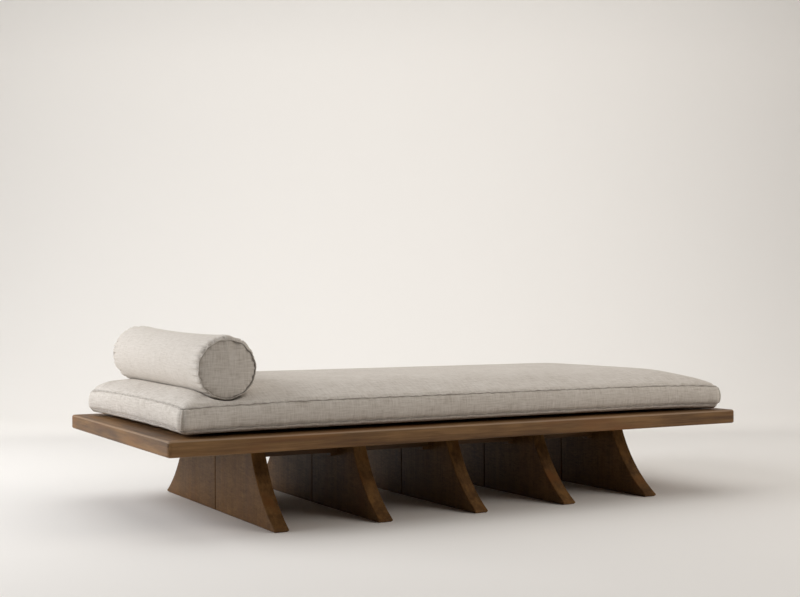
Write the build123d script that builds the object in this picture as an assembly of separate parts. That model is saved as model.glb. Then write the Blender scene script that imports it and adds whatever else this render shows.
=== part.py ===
from build123d import *
import math
import os

# A low daybed: a mitred timber platform on five curved fin legs, a box mattress and a bolster.
# Millimetres. Origin on the floor under the middle of the platform, +X towards the foot end,
# +Y towards the back, +Z up. The bolster lies at the head end, -X.

# --- driving dimensions: platform ---
platform_length = 2000
platform_width = 1000
platform_thickness = 45
platform_top = 275
edge_rail_width = 100
platform_corner_radius = 12
platform_arris = 7
rebate_width = 20
deck_thickness = 15
deck_board_count = 8
deck_board_gap = 6
deck_arris = 2
deck_clearance = 1
spline_across = 40
spline_along = 80
spline_thickness = 6

# --- driving dimensions: legs and the rails that tie them ---
leg_count = 5
leg_spacing = 330
leg_thickness = 45
leg_waist = 284
leg_toe = 462
leg_toe_height = 9
leg_arc_radius = 430
leg_arris = 2
foot_chamfer = 4
joint_groove_width = 5
joint_groove_depth = 12
joint_groove_arris = 0.8
dowel_radius = 5
dowel_length = 80
dowel_heights = (50, 115, 160)
cross_rail_width = 70
tenon_width = 50
tenon_thickness = 12
tie_rail_offset = 166
tie_rail_width = 28
tie_rail_height = 52
tie_rail_housing = 25
block_length = 20
block_height = 10

# --- driving dimensions: screws ---
deck_screw_radius = 2
deck_screw_head = 4
deck_screw_length = 35
deck_screw_stagger = 18
frame_screw_radius = 3
frame_screw_head = 6
frame_screw_length = 70
frame_screw_sink = 8
frame_screw_places = (-240, -tie_rail_offset, -60, 60, tie_rail_offset, 240)

# --- driving dimensions: mattress ---
mattress_length = 1900
mattress_width = 900
mattress_height = 140
mattress_shift = 10
mattress_corner_radius = 28
mattress_bottom_radius = 20
mattress_seam_height = 88
mattress_low_seam_height = 22
crown_run = 240
cover_thickness = 1.6
welt_radius = 2.4
welt_stand = 0.9
body_gap = 0.4

# --- driving dimensions: bolster ---
bolster_radius = 88
bolster_length = 812
bolster_centre = (-800, -6, 469.5)
bolster_tilt = 1.3
bolster_zip_angle = 10

# --- driving dimensions: zips ---
tape_width = 26
tape_thickness = 0.8
teeth_width = 5.5
teeth_thickness = 1.6
slider_length = 13
slider_width = 10
slider_plate = 1.6
bridge_width = 3
bridge_height = 3.4
pin_radius = 0.8
pull_length = 28
pull_width = 7
pull_thickness = 1.4
mattress_zip_length = 1500
bolster_zip_length = 560
zip_slider_inset = 14

# --- worked out from the above ---
leg_height = platform_top - platform_thickness
deck_underside = platform_top - deck_thickness
leg_places = [(i - (leg_count - 1) / 2) * leg_spacing for i in range(leg_count)]
inner_length = platform_length - 2 * edge_rail_width
inner_width = platform_width - 2 * edge_rail_width
rebate_length = inner_length + 2 * rebate_width
rebate_span = inner_width + 2 * rebate_width
mattress_bottom = platform_top + body_gap
mattress_zip_height = mattress_bottom + (mattress_seam_height + mattress_low_seam_height) / 2


def block(x_range, y_range, z_range):
    """A box between the given limits."""
    size = [high - low for low, high in (x_range, y_range, z_range)]
    middle = [(low + high) / 2 for low, high in (x_range, y_range, z_range)]
    return Pos(*middle) * Box(*size)


def centred_block(length, width, low, high):
    """A box centred on the origin in plan, between two heights."""
    return block((-length / 2, length / 2), (-width / 2, width / 2), (low, high))


def mitre_wedge(length, width, side):
    """The quarter of a rectangle's plan that one mitred side fills, as a tall prism."""
    x, y = length / 2, width / 2
    ridge = x - y
    outlines = {
        "front": [(-x, -y), (x, -y), (ridge, 0), (-ridge, 0)],
        "back": [(x, y), (-x, y), (-ridge, 0), (ridge, 0)],
        "head": [(-x, y), (-x, -y), (-ridge, 0)],
        "foot": [(x, -y), (x, y), (ridge, 0)],
    }
    face = make_face(Polyline(*outlines[side], close=True))
    return extrude(face, amount=platform_width)


def save(name, shape):
    """Write one node's STEP file."""
    export_step(shape, f"parts/{name}.step")


def near(items, x, reach):
    """The items whose middle lies within a reach of x."""
    return [item for item in items if abs(item.center().X - x) < reach]


def along_y(items, y, reach):
    """The items whose middle lies within a reach of y."""
    return [item for item in items if abs(item.center().Y - y) < reach]


# --- platform ---
def cross_rail(x):
    """The bearer inside the platform above one leg, with a stub tenon at each end."""
    beam = block((x - cross_rail_width / 2, x + cross_rail_width / 2),
                 (-inner_width / 2, inner_width / 2), (leg_height, deck_underside))
    middle = (leg_height + deck_underside) / 2
    tenons = block((x - tenon_width / 2, x + tenon_width / 2),
                   (-rebate_span / 2, rebate_span / 2),
                   (middle - tenon_thickness / 2, middle + tenon_thickness / 2))
    return beam + tenons


def platform_slab():
    """The whole edge frame before it is cut at the mitres."""
    slab = centred_block(platform_length, platform_width, leg_height, platform_top)
    slab = fillet(slab.edges().filter_by(Axis.Z), platform_corner_radius)
    faces = slab.faces().sort_by(Axis.Z)
    slab = fillet(faces[0].edges() + faces[-1].edges(), platform_arris)
    slab -= centred_block(inner_length, inner_width, leg_height - 1, platform_top + 1)
    slab -= centred_block(rebate_length, rebate_span, deck_underside, platform_top + 1)
    return slab


def corner_splines():
    """Loose tongues across the four mitres."""
    reach_x = (platform_length - edge_rail_width) / 2
    reach_y = (platform_width - edge_rail_width) / 2
    middle = leg_height + (deck_underside - leg_height) / 2
    tongue = Box(spline_along, spline_across, spline_thickness)
    return [Pos(sx * reach_x, sy * reach_y, middle) * Rot(0, 0, 45 * sx * sy) * tongue
            for sx in (-1, 1) for sy in (-1, 1)]


def deck_board(index):
    """One long deck board, its edges and ends lying in the rebate."""
    length = rebate_length - 2 * deck_clearance
    span = rebate_span - 2 * deck_clearance
    width = (span - (deck_board_count - 1) * deck_board_gap) / deck_board_count
    y = -span / 2 + width / 2 + index * (width + deck_board_gap)
    board = centred_block(length, width, deck_underside, platform_top)
    board = chamfer(board.faces().sort_by(Axis.Z)[-1].edges(), deck_arris)
    return Pos(0, y, 0) * board, y


def countersunk_screw(x, y, top, radius, head, length):
    """A wood screw pointing down, its head flush at the given height."""
    sink = head - radius
    outline = Polyline((0, 0), (head, 0), (radius, -sink), (radius, radius - length),
                       (0, -length), close=True)
    screw = revolve(Plane.XZ * make_face(outline), Axis.Z)
    return Pos(x, y, top) * screw


# --- legs ---
def joint_groove(way):
    """Cutter for the groove that shows the joint on one face of a leg, its mouth eased."""
    face = way * leg_thickness / 2
    mouth = way * (leg_thickness / 2 - joint_groove_arris)
    floor = way * (leg_thickness / 2 - joint_groove_depth)
    lip = joint_groove_width / 2
    wide = lip + joint_groove_arris
    outline = Polyline((face, -wide), (mouth, -lip), (floor, -lip), (floor, lip),
                       (mouth, lip), (face, wide), close=True)
    return extrude(make_face(outline), amount=leg_height, both=True)


def leg_board(side):
    """Half of a fin leg at x = 0: side -1 is the front board, +1 the back board."""
    toe = (side * leg_toe, leg_toe_height)
    waist = (side * leg_waist, leg_height)
    base = Polyline(waist, (0, leg_height), (0, 0), (side * leg_toe, 0), toe)
    sweep_edge = RadiusArc(toe, waist, side * leg_arc_radius)
    board = extrude(Plane.YZ * make_face(base + sweep_edge), amount=leg_thickness / 2, both=True)
    curved = board.edges().filter_by(GeomType.CIRCLE)
    board = chamfer(curved, leg_arris)
    sole = board.faces().sort_by(Axis.Z)[0].edges()
    board = chamfer([edge for edge in sole if abs(edge.center().Y) > 1], foot_chamfer)
    return board - joint_groove(-1) - joint_groove(1)


def leg_dowels(x):
    """Dowels that hold a leg's two boards edge to edge."""
    peg = Rot(90, 0, 0) * Cylinder(dowel_radius, dowel_length)
    return [Pos(x, 0, z) * peg for z in dowel_heights]


def tie_rail(side):
    """The long rail that ties the five legs, let into their top edges."""
    reach = leg_places[-1] - leg_thickness / 2 + tie_rail_housing
    y = side * tie_rail_offset
    return block((-reach, reach), (y - tie_rail_width / 2, y + tie_rail_width / 2),
                 (leg_height - tie_rail_height, leg_height))


def tie_rail_blocks(side):
    """Glue blocks under a tie rail, one against each leg face that it passes or meets."""
    shoulder = leg_thickness / 2 + block_length / 2
    places = [x + way * shoulder for x in leg_places for way in (-1, 1)][1:-1]
    low = leg_height - tie_rail_height - block_height
    wedge = Box(block_length, tie_rail_width, block_height)
    wedge = chamfer(wedge.faces().sort_by(Axis.Z)[0].edges(), 2)
    return [Pos(x, side * tie_rail_offset, low + block_height / 2) * wedge for x in places]


# --- mattress ---
def crown_profile(half, low, shoulder, top):
    """A section with upright sides and a flat crown that curves down to them."""
    flat = half - crown_run
    right = TangentArc((flat, top), (half, shoulder), tangent=(1, 0))
    left = TangentArc((-flat, top), (-half, shoulder), tangent=(-1, 0))
    sides = Polyline((-half, shoulder), (-half, low), (half, low), (half, shoulder))
    return make_face(sides + right + Line((-flat, top), (flat, top)) + left)


def mattress_block(inset):
    """The crowned mattress solid, drawn in by an inset on every side."""
    half_length = mattress_length / 2 - inset
    half_width = mattress_width / 2 - inset
    low = mattress_bottom + inset
    top = mattress_bottom + mattress_height - inset
    shoulder = mattress_bottom + mattress_seam_height
    along = crown_profile(half_length, low, shoulder, top)
    across = crown_profile(half_width, low, shoulder, top)
    solid = extrude(Plane.XZ * along, amount=mattress_width, both=True)
    solid &= extrude(Plane.YZ * across, amount=mattress_length, both=True)
    plan = centred_block(2 * half_length, 2 * half_width, low, top)
    solid &= fillet(plan.edges().filter_by(Axis.Z), mattress_corner_radius - inset)
    return fillet(solid.faces().sort_by(Axis.Z)[0].edges(), mattress_bottom_radius - inset)


def mattress_welt(height):
    """A piped seam around the mattress at one height."""
    plane = Plane.XY.offset(mattress_bottom + height)
    path = plane * RectangleRounded(mattress_length + 2 * welt_stand,
                                    mattress_width + 2 * welt_stand,
                                    mattress_corner_radius + welt_stand)
    wire = path.wire()
    section = Plane(wire @ 0, z_dir=wire % 0) * Circle(welt_radius)
    return sweep(section, path=wire)


def corner_welts():
    """Upright piped seams where the border's four pieces meet."""
    low = mattress_bottom + mattress_low_seam_height + welt_radius
    high = mattress_bottom + mattress_seam_height - welt_radius
    diagonal = math.cos(math.radians(45))
    inset = mattress_corner_radius * (1 - diagonal) - welt_stand * diagonal
    x = mattress_length / 2 - inset
    y = mattress_width / 2 - inset
    cord = Cylinder(welt_radius, high - low)
    return [Pos(sx * x, sy * y, (low + high) / 2) * cord for sx in (-1, 1) for sy in (-1, 1)]


# --- bolster, built with its axis along Y through the origin ---
def bolster_cylinder(radius, length):
    """A cylinder along the bolster's axis."""
    return Rot(90, 0, 0) * Cylinder(radius, length)


def bolster_sector(inner, outer, width, length):
    """A strip wrapped on the bolster at the zip's angle, as wide as given at its inner face."""
    half_turn = math.degrees(width / 2 / inner)
    ring = bolster_cylinder(outer, length) - bolster_cylinder(inner, length)
    edges = [math.radians(bolster_zip_angle + turn) for turn in (-half_turn, half_turn)]
    reach = 2 * outer
    corners = [(0, 0)] + [(reach * math.cos(a), reach * math.sin(a)) for a in edges]
    wedge = extrude(Plane.XZ * make_face(Polyline(*corners, close=True)), amount=length, both=True)
    return ring & wedge


# --- zips: a slider runs along local X, the tape's outer face is local z = 0 ---
def zip_slider():
    """Slider body: a top plate, a flange down each side of the teeth, and a bridge for the pull."""
    low = body_gap
    plate_low = teeth_thickness + body_gap
    plate = block((-slider_length / 2, slider_length / 2), (-slider_width / 2, slider_width / 2),
                  (plate_low, plate_low + slider_plate))
    plate = fillet(plate.edges().filter_by(Axis.Z), 2.5)
    inner = teeth_width / 2 + body_gap
    for way in (-1, 1):
        sides = sorted((way * inner, way * (slider_width / 2 - 0.3)))
        plate += block((-3.5, 3.5), sides, (low, plate_low))
    top = plate_low + slider_plate
    bridge = block((-4, 4), (-bridge_width / 2, bridge_width / 2), (top, top + bridge_height))
    bridge = fillet(bridge.edges().filter_by(Axis.Y).group_by(Axis.Z)[-1], 1.5)
    eye = block((-1.6, 1.6), (-bridge_width, bridge_width), (top, top + 2.2))
    return plate + (bridge - eye)


def zip_pin_height():
    """Height of the pull's pivot above the tape."""
    return teeth_thickness + body_gap + slider_plate + 1.1


def zip_pull():
    """Pull tab: a pin through the slider's bridge and a tab along +X with a round hole."""
    height = zip_pin_height()
    pin = Pos(0, 0, height) * Rot(90, 0, 0) * Cylinder(pin_radius, pull_width)
    start = 5
    tab = block((start, pull_length), (-pull_width / 2, pull_width / 2),
                (height - pull_thickness / 2, height + pull_thickness / 2))
    tab = fillet(tab.edges().filter_by(Axis.Z).group_by(Axis.X)[-1], 3)
    tab -= Pos(pull_length - 5, 0, height) * Cylinder(1.6, pull_thickness * 2)
    for way in (-1, 1):
        sides = sorted((way * pull_width / 2, way * (pull_width / 2 - 1.6)))
        tab += block((0, start), sides, (height - pull_thickness / 2, height + pull_thickness / 2))
    return tab + pin


os.makedirs("parts", exist_ok=True)

# Screws come first, because the timber is bored for them.
deck = [deck_board(i) for i in range(deck_board_count)]
deck_screws = [countersunk_screw(x + deck_screw_stagger * (-1) ** row, y, platform_top,
                                 deck_screw_radius, deck_screw_head, deck_screw_length)
               for x in leg_places for row, (_, y) in enumerate(deck)]
frame_screws = [countersunk_screw(x, y, deck_underside - frame_screw_sink, frame_screw_radius,
                                  frame_screw_head, frame_screw_length)
                for x in leg_places for y in frame_screw_places]
frame_bores = [Pos(x, y, deck_underside) * Cylinder(frame_screw_head, 2 * frame_screw_sink)
               for x in leg_places for y in frame_screw_places]
save("deck_screws", Compound(children=deck_screws))
save("frame_screws", Compound(children=frame_screws))

for number, (board, y) in enumerate(deck, start=1):
    save(f"deck_board_{number}", board - along_y(deck_screws, y, 1))

cross_rails = [cross_rail(x) for x in leg_places]
for number, (x, rail) in enumerate(zip(leg_places, cross_rails), start=1):
    holes = near(deck_screws + frame_screws + frame_bores, x, cross_rail_width / 2)
    save(f"cross_rail_{number}", rail - holes)

slab = platform_slab()
splines = corner_splines()
save("corner_splines", Compound(children=splines))
for side in ("front", "back", "head", "foot"):
    rail = slab & mitre_wedge(platform_length, platform_width, side)
    save(f"platform_{side}_rail", rail - splines - cross_rails)

# Legs, the rails that tie them, and what holds them together.
tie_rails = {"front": tie_rail(-1), "back": tie_rail(1)}
dowels = [peg for x in leg_places for peg in leg_dowels(x)]
save("leg_dowels", Compound(children=dowels))
boards = {"front": leg_board(-1), "back": leg_board(1)}
for number, x in enumerate(leg_places, start=1):
    for side, board in boards.items():
        cuts = near(dowels + frame_screws, x, 1)
        save(f"leg_{number}_{side}_board", Pos(x, 0, 0) * board - tie_rails[side] - cuts)
for side, way in (("front", -1), ("back", 1)):
    rail_screws = along_y(frame_screws, way * tie_rail_offset, 1)
    save(f"tie_rail_{side}", tie_rails[side] - rail_screws)
    save(f"tie_rail_{side}_blocks", Compound(children=tie_rail_blocks(way)))

# Bolster: built on its own axis, then laid across the head end.
core_radius = bolster_radius - cover_thickness
core_length = bolster_length - 2 * cover_thickness
lay = Pos(*bolster_centre) * Rot(bolster_tilt, 0, 0)
ring = Rot(90, 0, 0) * Torus(bolster_radius + welt_stand / 2, welt_radius)
ring_place = (bolster_length + welt_stand) / 2
rings = {"front": Pos(0, -ring_place, 0) * ring, "back": Pos(0, ring_place, 0) * ring}
sleeve = bolster_cylinder(bolster_radius, core_length) - bolster_cylinder(core_radius, core_length)
save("bolster_core", lay * bolster_cylinder(core_radius, core_length))
save("bolster_sleeve", lay * (sleeve - list(rings.values())))
for side, way in (("front", -1), ("back", 1)):
    disc = bolster_cylinder(bolster_radius, cover_thickness)
    disc = Pos(0, way * (bolster_length - cover_thickness) / 2, 0) * disc
    save(f"bolster_{side}_disc", lay * (disc - rings[side]))
    save(f"bolster_{side}_welt", lay * rings[side])
tape_top = bolster_radius + tape_thickness
tape = bolster_sector(bolster_radius, tape_top, tape_width, bolster_zip_length)
teeth = bolster_sector(tape_top, tape_top + teeth_thickness, teeth_width, bolster_zip_length)
save("bolster_zip_tape", lay * tape)
save("bolster_zip_teeth", lay * teeth)
out = (math.cos(math.radians(bolster_zip_angle)), 0, math.sin(math.radians(bolster_zip_angle)))
start = Vector(*out) * tape_top + Vector(0, bolster_zip_length / 2 - zip_slider_inset - pull_length, 0)
on_bolster = Plane(origin=start, x_dir=(0, 1, 0), z_dir=out).location
save("bolster_zip_slider", lay * on_bolster * zip_slider())
save("bolster_zip_pull", lay * on_bolster * zip_pull())

# Mattress: the cover is the space between two crowned blocks, cut into its sewn pieces. A trough
# under the bolster stands for the filling that its weight presses down.
welt_reach = welt_stand + welt_radius + body_gap
bolster_dent = lay * bolster_cylinder(bolster_radius + welt_reach, bolster_length + 2 * welt_reach)
place = Pos(mattress_shift, 0, 0)
core = place * mattress_block(cover_thickness) - Pos(0, 0, -cover_thickness) * bolster_dent
shell = place * mattress_block(0) - bolster_dent - core
save("mattress_core", core)
seams = {"top": place * mattress_welt(mattress_seam_height),
         "bottom": place * mattress_welt(mattress_low_seam_height)}
uprights = [place * cord for cord in corner_welts()]
high_seam = mattress_bottom + mattress_seam_height
low_seam = mattress_bottom + mattress_low_seam_height
over = centred_block(platform_length, platform_width, high_seam, platform_top + platform_width)
under = centred_block(platform_length, platform_width, 0, low_seam)
band = shell - over - under
save("mattress_top_panel", shell & over - seams["top"])
save("mattress_bottom_panel", shell & under - seams["bottom"])
for side in ("front", "back", "head", "foot"):
    piece = band & place * mitre_wedge(mattress_length, mattress_width, side)
    save(f"mattress_{side}_border", piece - list(seams.values()) - uprights)
for name, seam in seams.items():
    save(f"mattress_{name}_welt", seam)
save("mattress_corner_welts", Compound(children=uprights))
zip_half = mattress_zip_length / 2
tape_face = mattress_width / 2 + tape_thickness
zip_low = mattress_zip_height - tape_width / 2
tape = block((-zip_half, zip_half), (mattress_width / 2, tape_face),
             (zip_low, zip_low + tape_width))
teeth_low = mattress_zip_height - teeth_width / 2
teeth = block((-zip_half, zip_half), (tape_face, tape_face + teeth_thickness),
              (teeth_low, teeth_low + teeth_width))
save("mattress_zip_tape", place * tape)
save("mattress_zip_teeth", place * teeth)
slider_x = zip_half - zip_slider_inset - pull_length
on_mattress = Plane(origin=(slider_x, tape_face, mattress_zip_height),
                    x_dir=(1, 0, 0), z_dir=(0, 1, 0)).location
save("mattress_zip_slider", place * on_mattress * zip_slider())
save("mattress_zip_pull", place * on_mattress * zip_pull())
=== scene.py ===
import math

import bpy
import numpy as np
from mathutils import Matrix, Vector


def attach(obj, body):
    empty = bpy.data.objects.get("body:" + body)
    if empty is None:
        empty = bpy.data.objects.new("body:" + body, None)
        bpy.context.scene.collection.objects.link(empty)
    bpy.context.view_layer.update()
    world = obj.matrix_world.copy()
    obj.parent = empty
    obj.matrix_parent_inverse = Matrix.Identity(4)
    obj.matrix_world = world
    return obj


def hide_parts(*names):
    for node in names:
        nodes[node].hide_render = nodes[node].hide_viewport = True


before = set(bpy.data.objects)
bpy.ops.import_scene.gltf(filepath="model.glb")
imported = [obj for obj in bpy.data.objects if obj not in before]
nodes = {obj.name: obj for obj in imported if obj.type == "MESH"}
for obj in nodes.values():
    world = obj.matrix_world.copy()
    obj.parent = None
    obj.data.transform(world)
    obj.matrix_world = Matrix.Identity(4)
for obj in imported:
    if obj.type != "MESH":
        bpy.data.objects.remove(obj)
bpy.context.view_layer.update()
scene = bpy.context.scene

# Camera: place in metres, angles in degrees. Yaw turns from +Y towards +X.
CAMERA_PLACE = Vector((-2.056, -3.670, 0.619))
CAMERA_YAW = 28.96
CAMERA_PITCH = 0.52
CAMERA_ROLL = -0.23
CAMERA_LENS = 56.2
SENSOR_WIDTH = 36

# Finish colours, linear.
WALNUT_DARK = (0.074, 0.0345, 0.0112)
WALNUT_MID = (0.150, 0.0745, 0.0245)
WALNUT_LIGHT = (0.236, 0.1240, 0.0440)
# Painted highlight for the walnut's arrises that face up.
ARRIS_HIGHLIGHT = (0.350, 0.235, 0.145)
LINEN_DARK = (0.430, 0.380, 0.325)
LINEN_MID = (0.600, 0.552, 0.496)
LINEN_LIGHT = (0.715, 0.672, 0.620)
BACKDROP = (0.865, 0.84, 0.805)

# Studio sweep, metres: floor from behind the camera to where it bends up into the wall.
FLOOR_NEAR = -7.0
FLOOR_FAR = 2.9
SWEEP_BEND = 2.6
SWEEP_STEPS = 24
WALL_HEIGHT = 6.0
SWEEP_HALF = 12.0

# Softboxes: place, target, width and height in metres, power in watts, colour.
LIGHTS = {
    "key": ((-3.77, 1.52, 2.10), (-0.1, 0.0, 0.25), 3.6, 2.8, 158, (0.975, 0.99, 1.02)),
    "fill": ((3.9, -3.8, 3.2), (0.2, 0.0, 0.2), 5.0, 3.6, 160, (1.0, 0.945, 0.89)),
    "top": ((0.3, 0.7, 4.2), (0.2, 0.3, 0.0), 6.0, 5.0, 98, (1.0, 0.98, 0.955)),
}

# Cloth simulation: frames run, and the spare fabric beside the seams as a share of its length.
CLOTH_FRAMES = 20
SPARE_FABRIC = 0.03

# Linen: thread pitch, how far the painted shade beside a seam reaches and how strong it is, and the
# piping's distances on that scale, where a smaller one gets more painted shade. Metres.
THREAD = 0.0011
SEAM_SHADE_REACH = 0.0032
SEAM_SHADE = 0.62
# The front piping gets more painted shade, as the front faces away from the key light.
FRONT_PIPING_GAP = 0.0010
PIPING_GAP = 0.0024
CORNER_PIPING_GAP = 0.0035
BOLSTER_PIPING_GAP = 0.0026

# Mattress cover, metres. Seam heights are (at the corners, along the sides). Each step of the
# curve under the low seam is (how far in, share of the way down to the deck).
MATTRESS_MIDDLE = 0.010
MATTRESS_HALF = (0.950, 0.450)
CORNER_RADIUS = 0.014
DECK = 0.2756
TOP_SEAM = (0.3565, 0.3650)
FOOT_SEAM_DROP = 0.0025
LOW_SEAM = (0.2930, 0.2990)
CROWN = 0.4150
CROWN_RUN = 0.240
HEAD_RUN = 0.190
HEAD_FULLNESS = 0.75
FOOT_FULLNESS = 0.62
SIDE_FULLNESS = 0.72
CROWN_SWELL = 0.005
BACK_CORNER_PUFF = 0.013
UNDER_CURVE = ((0.0008, 0.13), (0.0026, 0.28), (0.0062, 0.41), (0.0112, 0.49),
               (0.0180, 0.56), (0.0270, 0.62))
UNDER_REACH = 0.038
UNDER_LIFT = 0.32
UNDER_RUN = 0.050
BULGE_SIDE = 0.0060
BULGE_END = 0.0045
BULGE_CORNER = 0.0100
BAND_LEVELS = (0.06, 0.17, 0.30, 0.43, 0.57, 0.70, 0.83, 0.94)
GRID_SPACING = 0.0155
SEAM_STEPS = (0.004, 0.011)
ZIP_HALF = 0.750
ZIP_HEIGHT = 0.3304
ZIP_BED = 0.0007
ZIP_BED_HALF = 0.0155
WELT_RADIUS = 0.0013
CORNER_WELT_RADIUS = 0.0025
TUBE_SIDES = 8

# Zip teeth and tape, metres. A tooth's length is along the zip and its reach across it.
TOOTH_PITCH = 0.0025
TOOTH_LENGTH = 0.00105
TOOTH_REACH = 0.0026
TOOTH_HEIGHT = 0.0013
TAPE_THICKNESS = 0.0008

# Relief on the mattress cover, as (height, reach from the seam), metres.
SEAM_GROOVE = (0.0026, 0.0050)
PUCKER = (0.0008, 0.011)
SEAM_WANDER = (0.0011, 0.012)
SLACK = (0.0007, 0.045)
SETTLED = 0.0008
TROUGH_DISH = (0.004, 0.14)
TROUGH_BLEND = 0.007

# Bolster cover, metres, with the zip's place in degrees up from +X.
BOLSTER_MIDDLE = np.array((-0.800, -0.006, 0.4695))
BOLSTER_LEAN = math.radians(1.3)
BOLSTER_AXIS = np.array((0, math.cos(BOLSTER_LEAN), math.sin(BOLSTER_LEAN)))
BOLSTER_HALF = 0.4052
BOLSTER_RADIUS = 0.0880
BOLSTER_WAIST = 0.0885
BOLSTER_FRONT = 0.0930
BOLSTER_BACK = 0.0942
BOLSTER_DROP = 0.0040
BOLSTER_SQUASH = 0.0022
BOLSTER_RIM = 0.0838
BOLSTER_SWELL = 0.0018
BOLSTER_DOME = 0.0045
BOLSTER_GAP = 0.0006
BOLSTER_AROUND = 120
BOLSTER_ROWS = 84
BOLSTER_EDGE_STEPS = (0.0, 0.0015, 0.004, 0.008, 0.014)
DISC_RINGS = (0.986, 0.965, 0.92, 0.86, 0.78, 0.68, 0.57, 0.45, 0.33, 0.21, 0.10)
BOLSTER_WELT = 0.0016
BOLSTER_FOLD = 0.0014
FOLD_REACH_SLEEVE = 0.017
FOLD_REACH_DISC = 0.009
CREASE_DEPTH = 0.0052
CREASE_REACH = 0.040
CREASE_FROM = 0.30
BOLSTER_SAG = 0.0025
BOLSTER_LUMP = 0.0007
BOLSTER_ZIP_BED = 0.0145
BOLSTER_ZIP_ANGLE = 10
BOLSTER_ZIP_HALF = 0.280


# -------------------- node helpers
SHADER_INPUTS = {"colour": "Base Color", "rough": "Roughness", "metal": "Metallic",
                 "specular": "Specular IOR Level", "normal": "Normal", "sheen": "Sheen Weight",
                 "sheen_rough": "Sheen Roughness", "sheen_tint": "Sheen Tint"}


def tinted(colour, factor):
    """A colour times one factor, or times one for each channel."""
    return tuple(float(c) for c in np.multiply(colour, factor))


class Tree:
    """A material's node tree, with short calls for the nodes this scene uses."""

    def __init__(self, name):
        self.material = bpy.data.materials.new(name)
        self.material.use_nodes = True
        self.nodes = self.material.node_tree.nodes
        self.links = self.material.node_tree.links
        self.shader = self.nodes["Principled BSDF"]
        coordinates = self.nodes.new("ShaderNodeTexCoord")
        self.object_place = coordinates.outputs["Object"]
        self.object_normal = coordinates.outputs["Normal"]

    def feed(self, socket, value):
        """Link an output to a socket, or set the socket's own value."""
        if isinstance(value, bpy.types.NodeSocket):
            self.links.new(value, socket)
        elif isinstance(value, tuple) and len(value) == 3 and socket.type == "RGBA":
            socket.default_value = (*value, 1)
        else:
            socket.default_value = value

    def add(self, kind, inputs, **settings):
        """A new node's outputs, once its settings are set and its inputs fed."""
        node = self.nodes.new("ShaderNode" + kind)
        for name, value in settings.items():
            setattr(node, name, value)
        for socket, value in inputs.items():
            self.feed(node.inputs[socket], value)
        return node.outputs

    def math(self, operation, a, b=0.0, c=0.0):
        return self.add("Math", {0: a, 1: b, 2: c}, operation=operation)[0]

    def attribute(self, name):
        return self.add("Attribute", {}, attribute_name=name)["Fac"]

    def split(self, vector):
        return self.add("SeparateXYZ", {0: vector})

    def join(self, x, y, z):
        return self.add("CombineXYZ", {0: x, 1: y, 2: z})[0]

    def mapping(self, vector, scale=(1, 1, 1), place=(0, 0, 0), turn=(0, 0, 0)):
        return self.add("Mapping", {"Vector": vector, "Location": place, "Rotation": turn,
                                    "Scale": scale})[0]

    def noise(self, vector, scale, detail=2.0, roughness=0.5, distortion=0.0):
        return self.add("TexNoise", {"Vector": vector, "Scale": scale, "Detail": detail,
                                     "Roughness": roughness, "Distortion": distortion})["Fac"]

    def ramp(self, value, *stops):
        """A colour ramp: stops are (position, colour)."""
        node = self.nodes.new("ShaderNodeValToRGB")
        self.feed(node.inputs[0], value)
        elements = node.color_ramp.elements
        while len(elements) < len(stops):
            elements.new(0.5)
        for element, (position, colour) in zip(elements, stops):
            element.position = position
            element.color = (*colour, 1)
        return node.outputs[0]

    def weigh(self, *parts):
        """The sum of sockets, each times its weight."""
        total = 0.0
        for value, weight in parts:
            total = self.math("MULTIPLY_ADD", value, weight, total)
        return total

    def range(self, value, low, high, to_low=0.0, to_high=1.0):
        """A smooth step from one value at low to another at high."""
        return self.add("MapRange", {0: value, 1: low, 2: high, 3: to_low, 4: to_high},
                        interpolation_type="SMOOTHSTEP")[0]

    def mix(self, factor, a, b):
        """A blend of two colours, by the mix node's colour sockets."""
        return self.add("Mix", {0: factor, 6: a, 7: b}, data_type="RGBA")[2]

    def bump(self, height, distance, strength):
        return self.add("Bump", {"Height": height, "Distance": distance, "Strength": strength})[0]

    def finish(self, **inputs):
        """Feed the shader's inputs, named in lower case, and hand over the material."""
        for name, value in inputs.items():
            self.feed(self.shader.inputs[SHADER_INPUTS[name]], value)
        return self.material


# -------------------- camera and stage
def camera_ways():
    """Level directions ahead of the camera and to its right."""
    yaw = math.radians(CAMERA_YAW)
    return Vector((math.sin(yaw), math.cos(yaw), 0)), Vector((math.cos(yaw), -math.sin(yaw), 0))


def make_camera():
    """The camera, built from its yaw, pitch and roll."""
    ahead, right = camera_ways()
    pitch, roll = math.radians(CAMERA_PITCH), math.radians(CAMERA_ROLL)
    look = ahead * math.cos(pitch) + Vector((0, 0, math.sin(pitch)))
    up = right.cross(look)
    rolled_right = math.cos(roll) * right + math.sin(roll) * up
    rolled_up = math.cos(roll) * up - math.sin(roll) * right
    turn = Matrix((rolled_right, rolled_up, -look)).transposed().to_4x4()
    data = bpy.data.cameras.new("camera")
    data.lens = CAMERA_LENS
    data.sensor_width = SENSOR_WIDTH
    camera = bpy.data.objects.new("camera", data)
    camera.matrix_world = Matrix.Translation(CAMERA_PLACE) @ turn
    scene.collection.objects.link(camera)
    scene.camera = camera


def stage_material():
    """Matt painted studio sweep with a faint mottle."""
    tree = Tree("studio_sweep")
    mottle = tree.noise(tree.object_place, 0.9, detail=3)
    colour = tree.mix(mottle, tinted(BACKDROP, 0.985), BACKDROP)
    return tree.finish(colour=colour, rough=0.85, specular=0.2)


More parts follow.
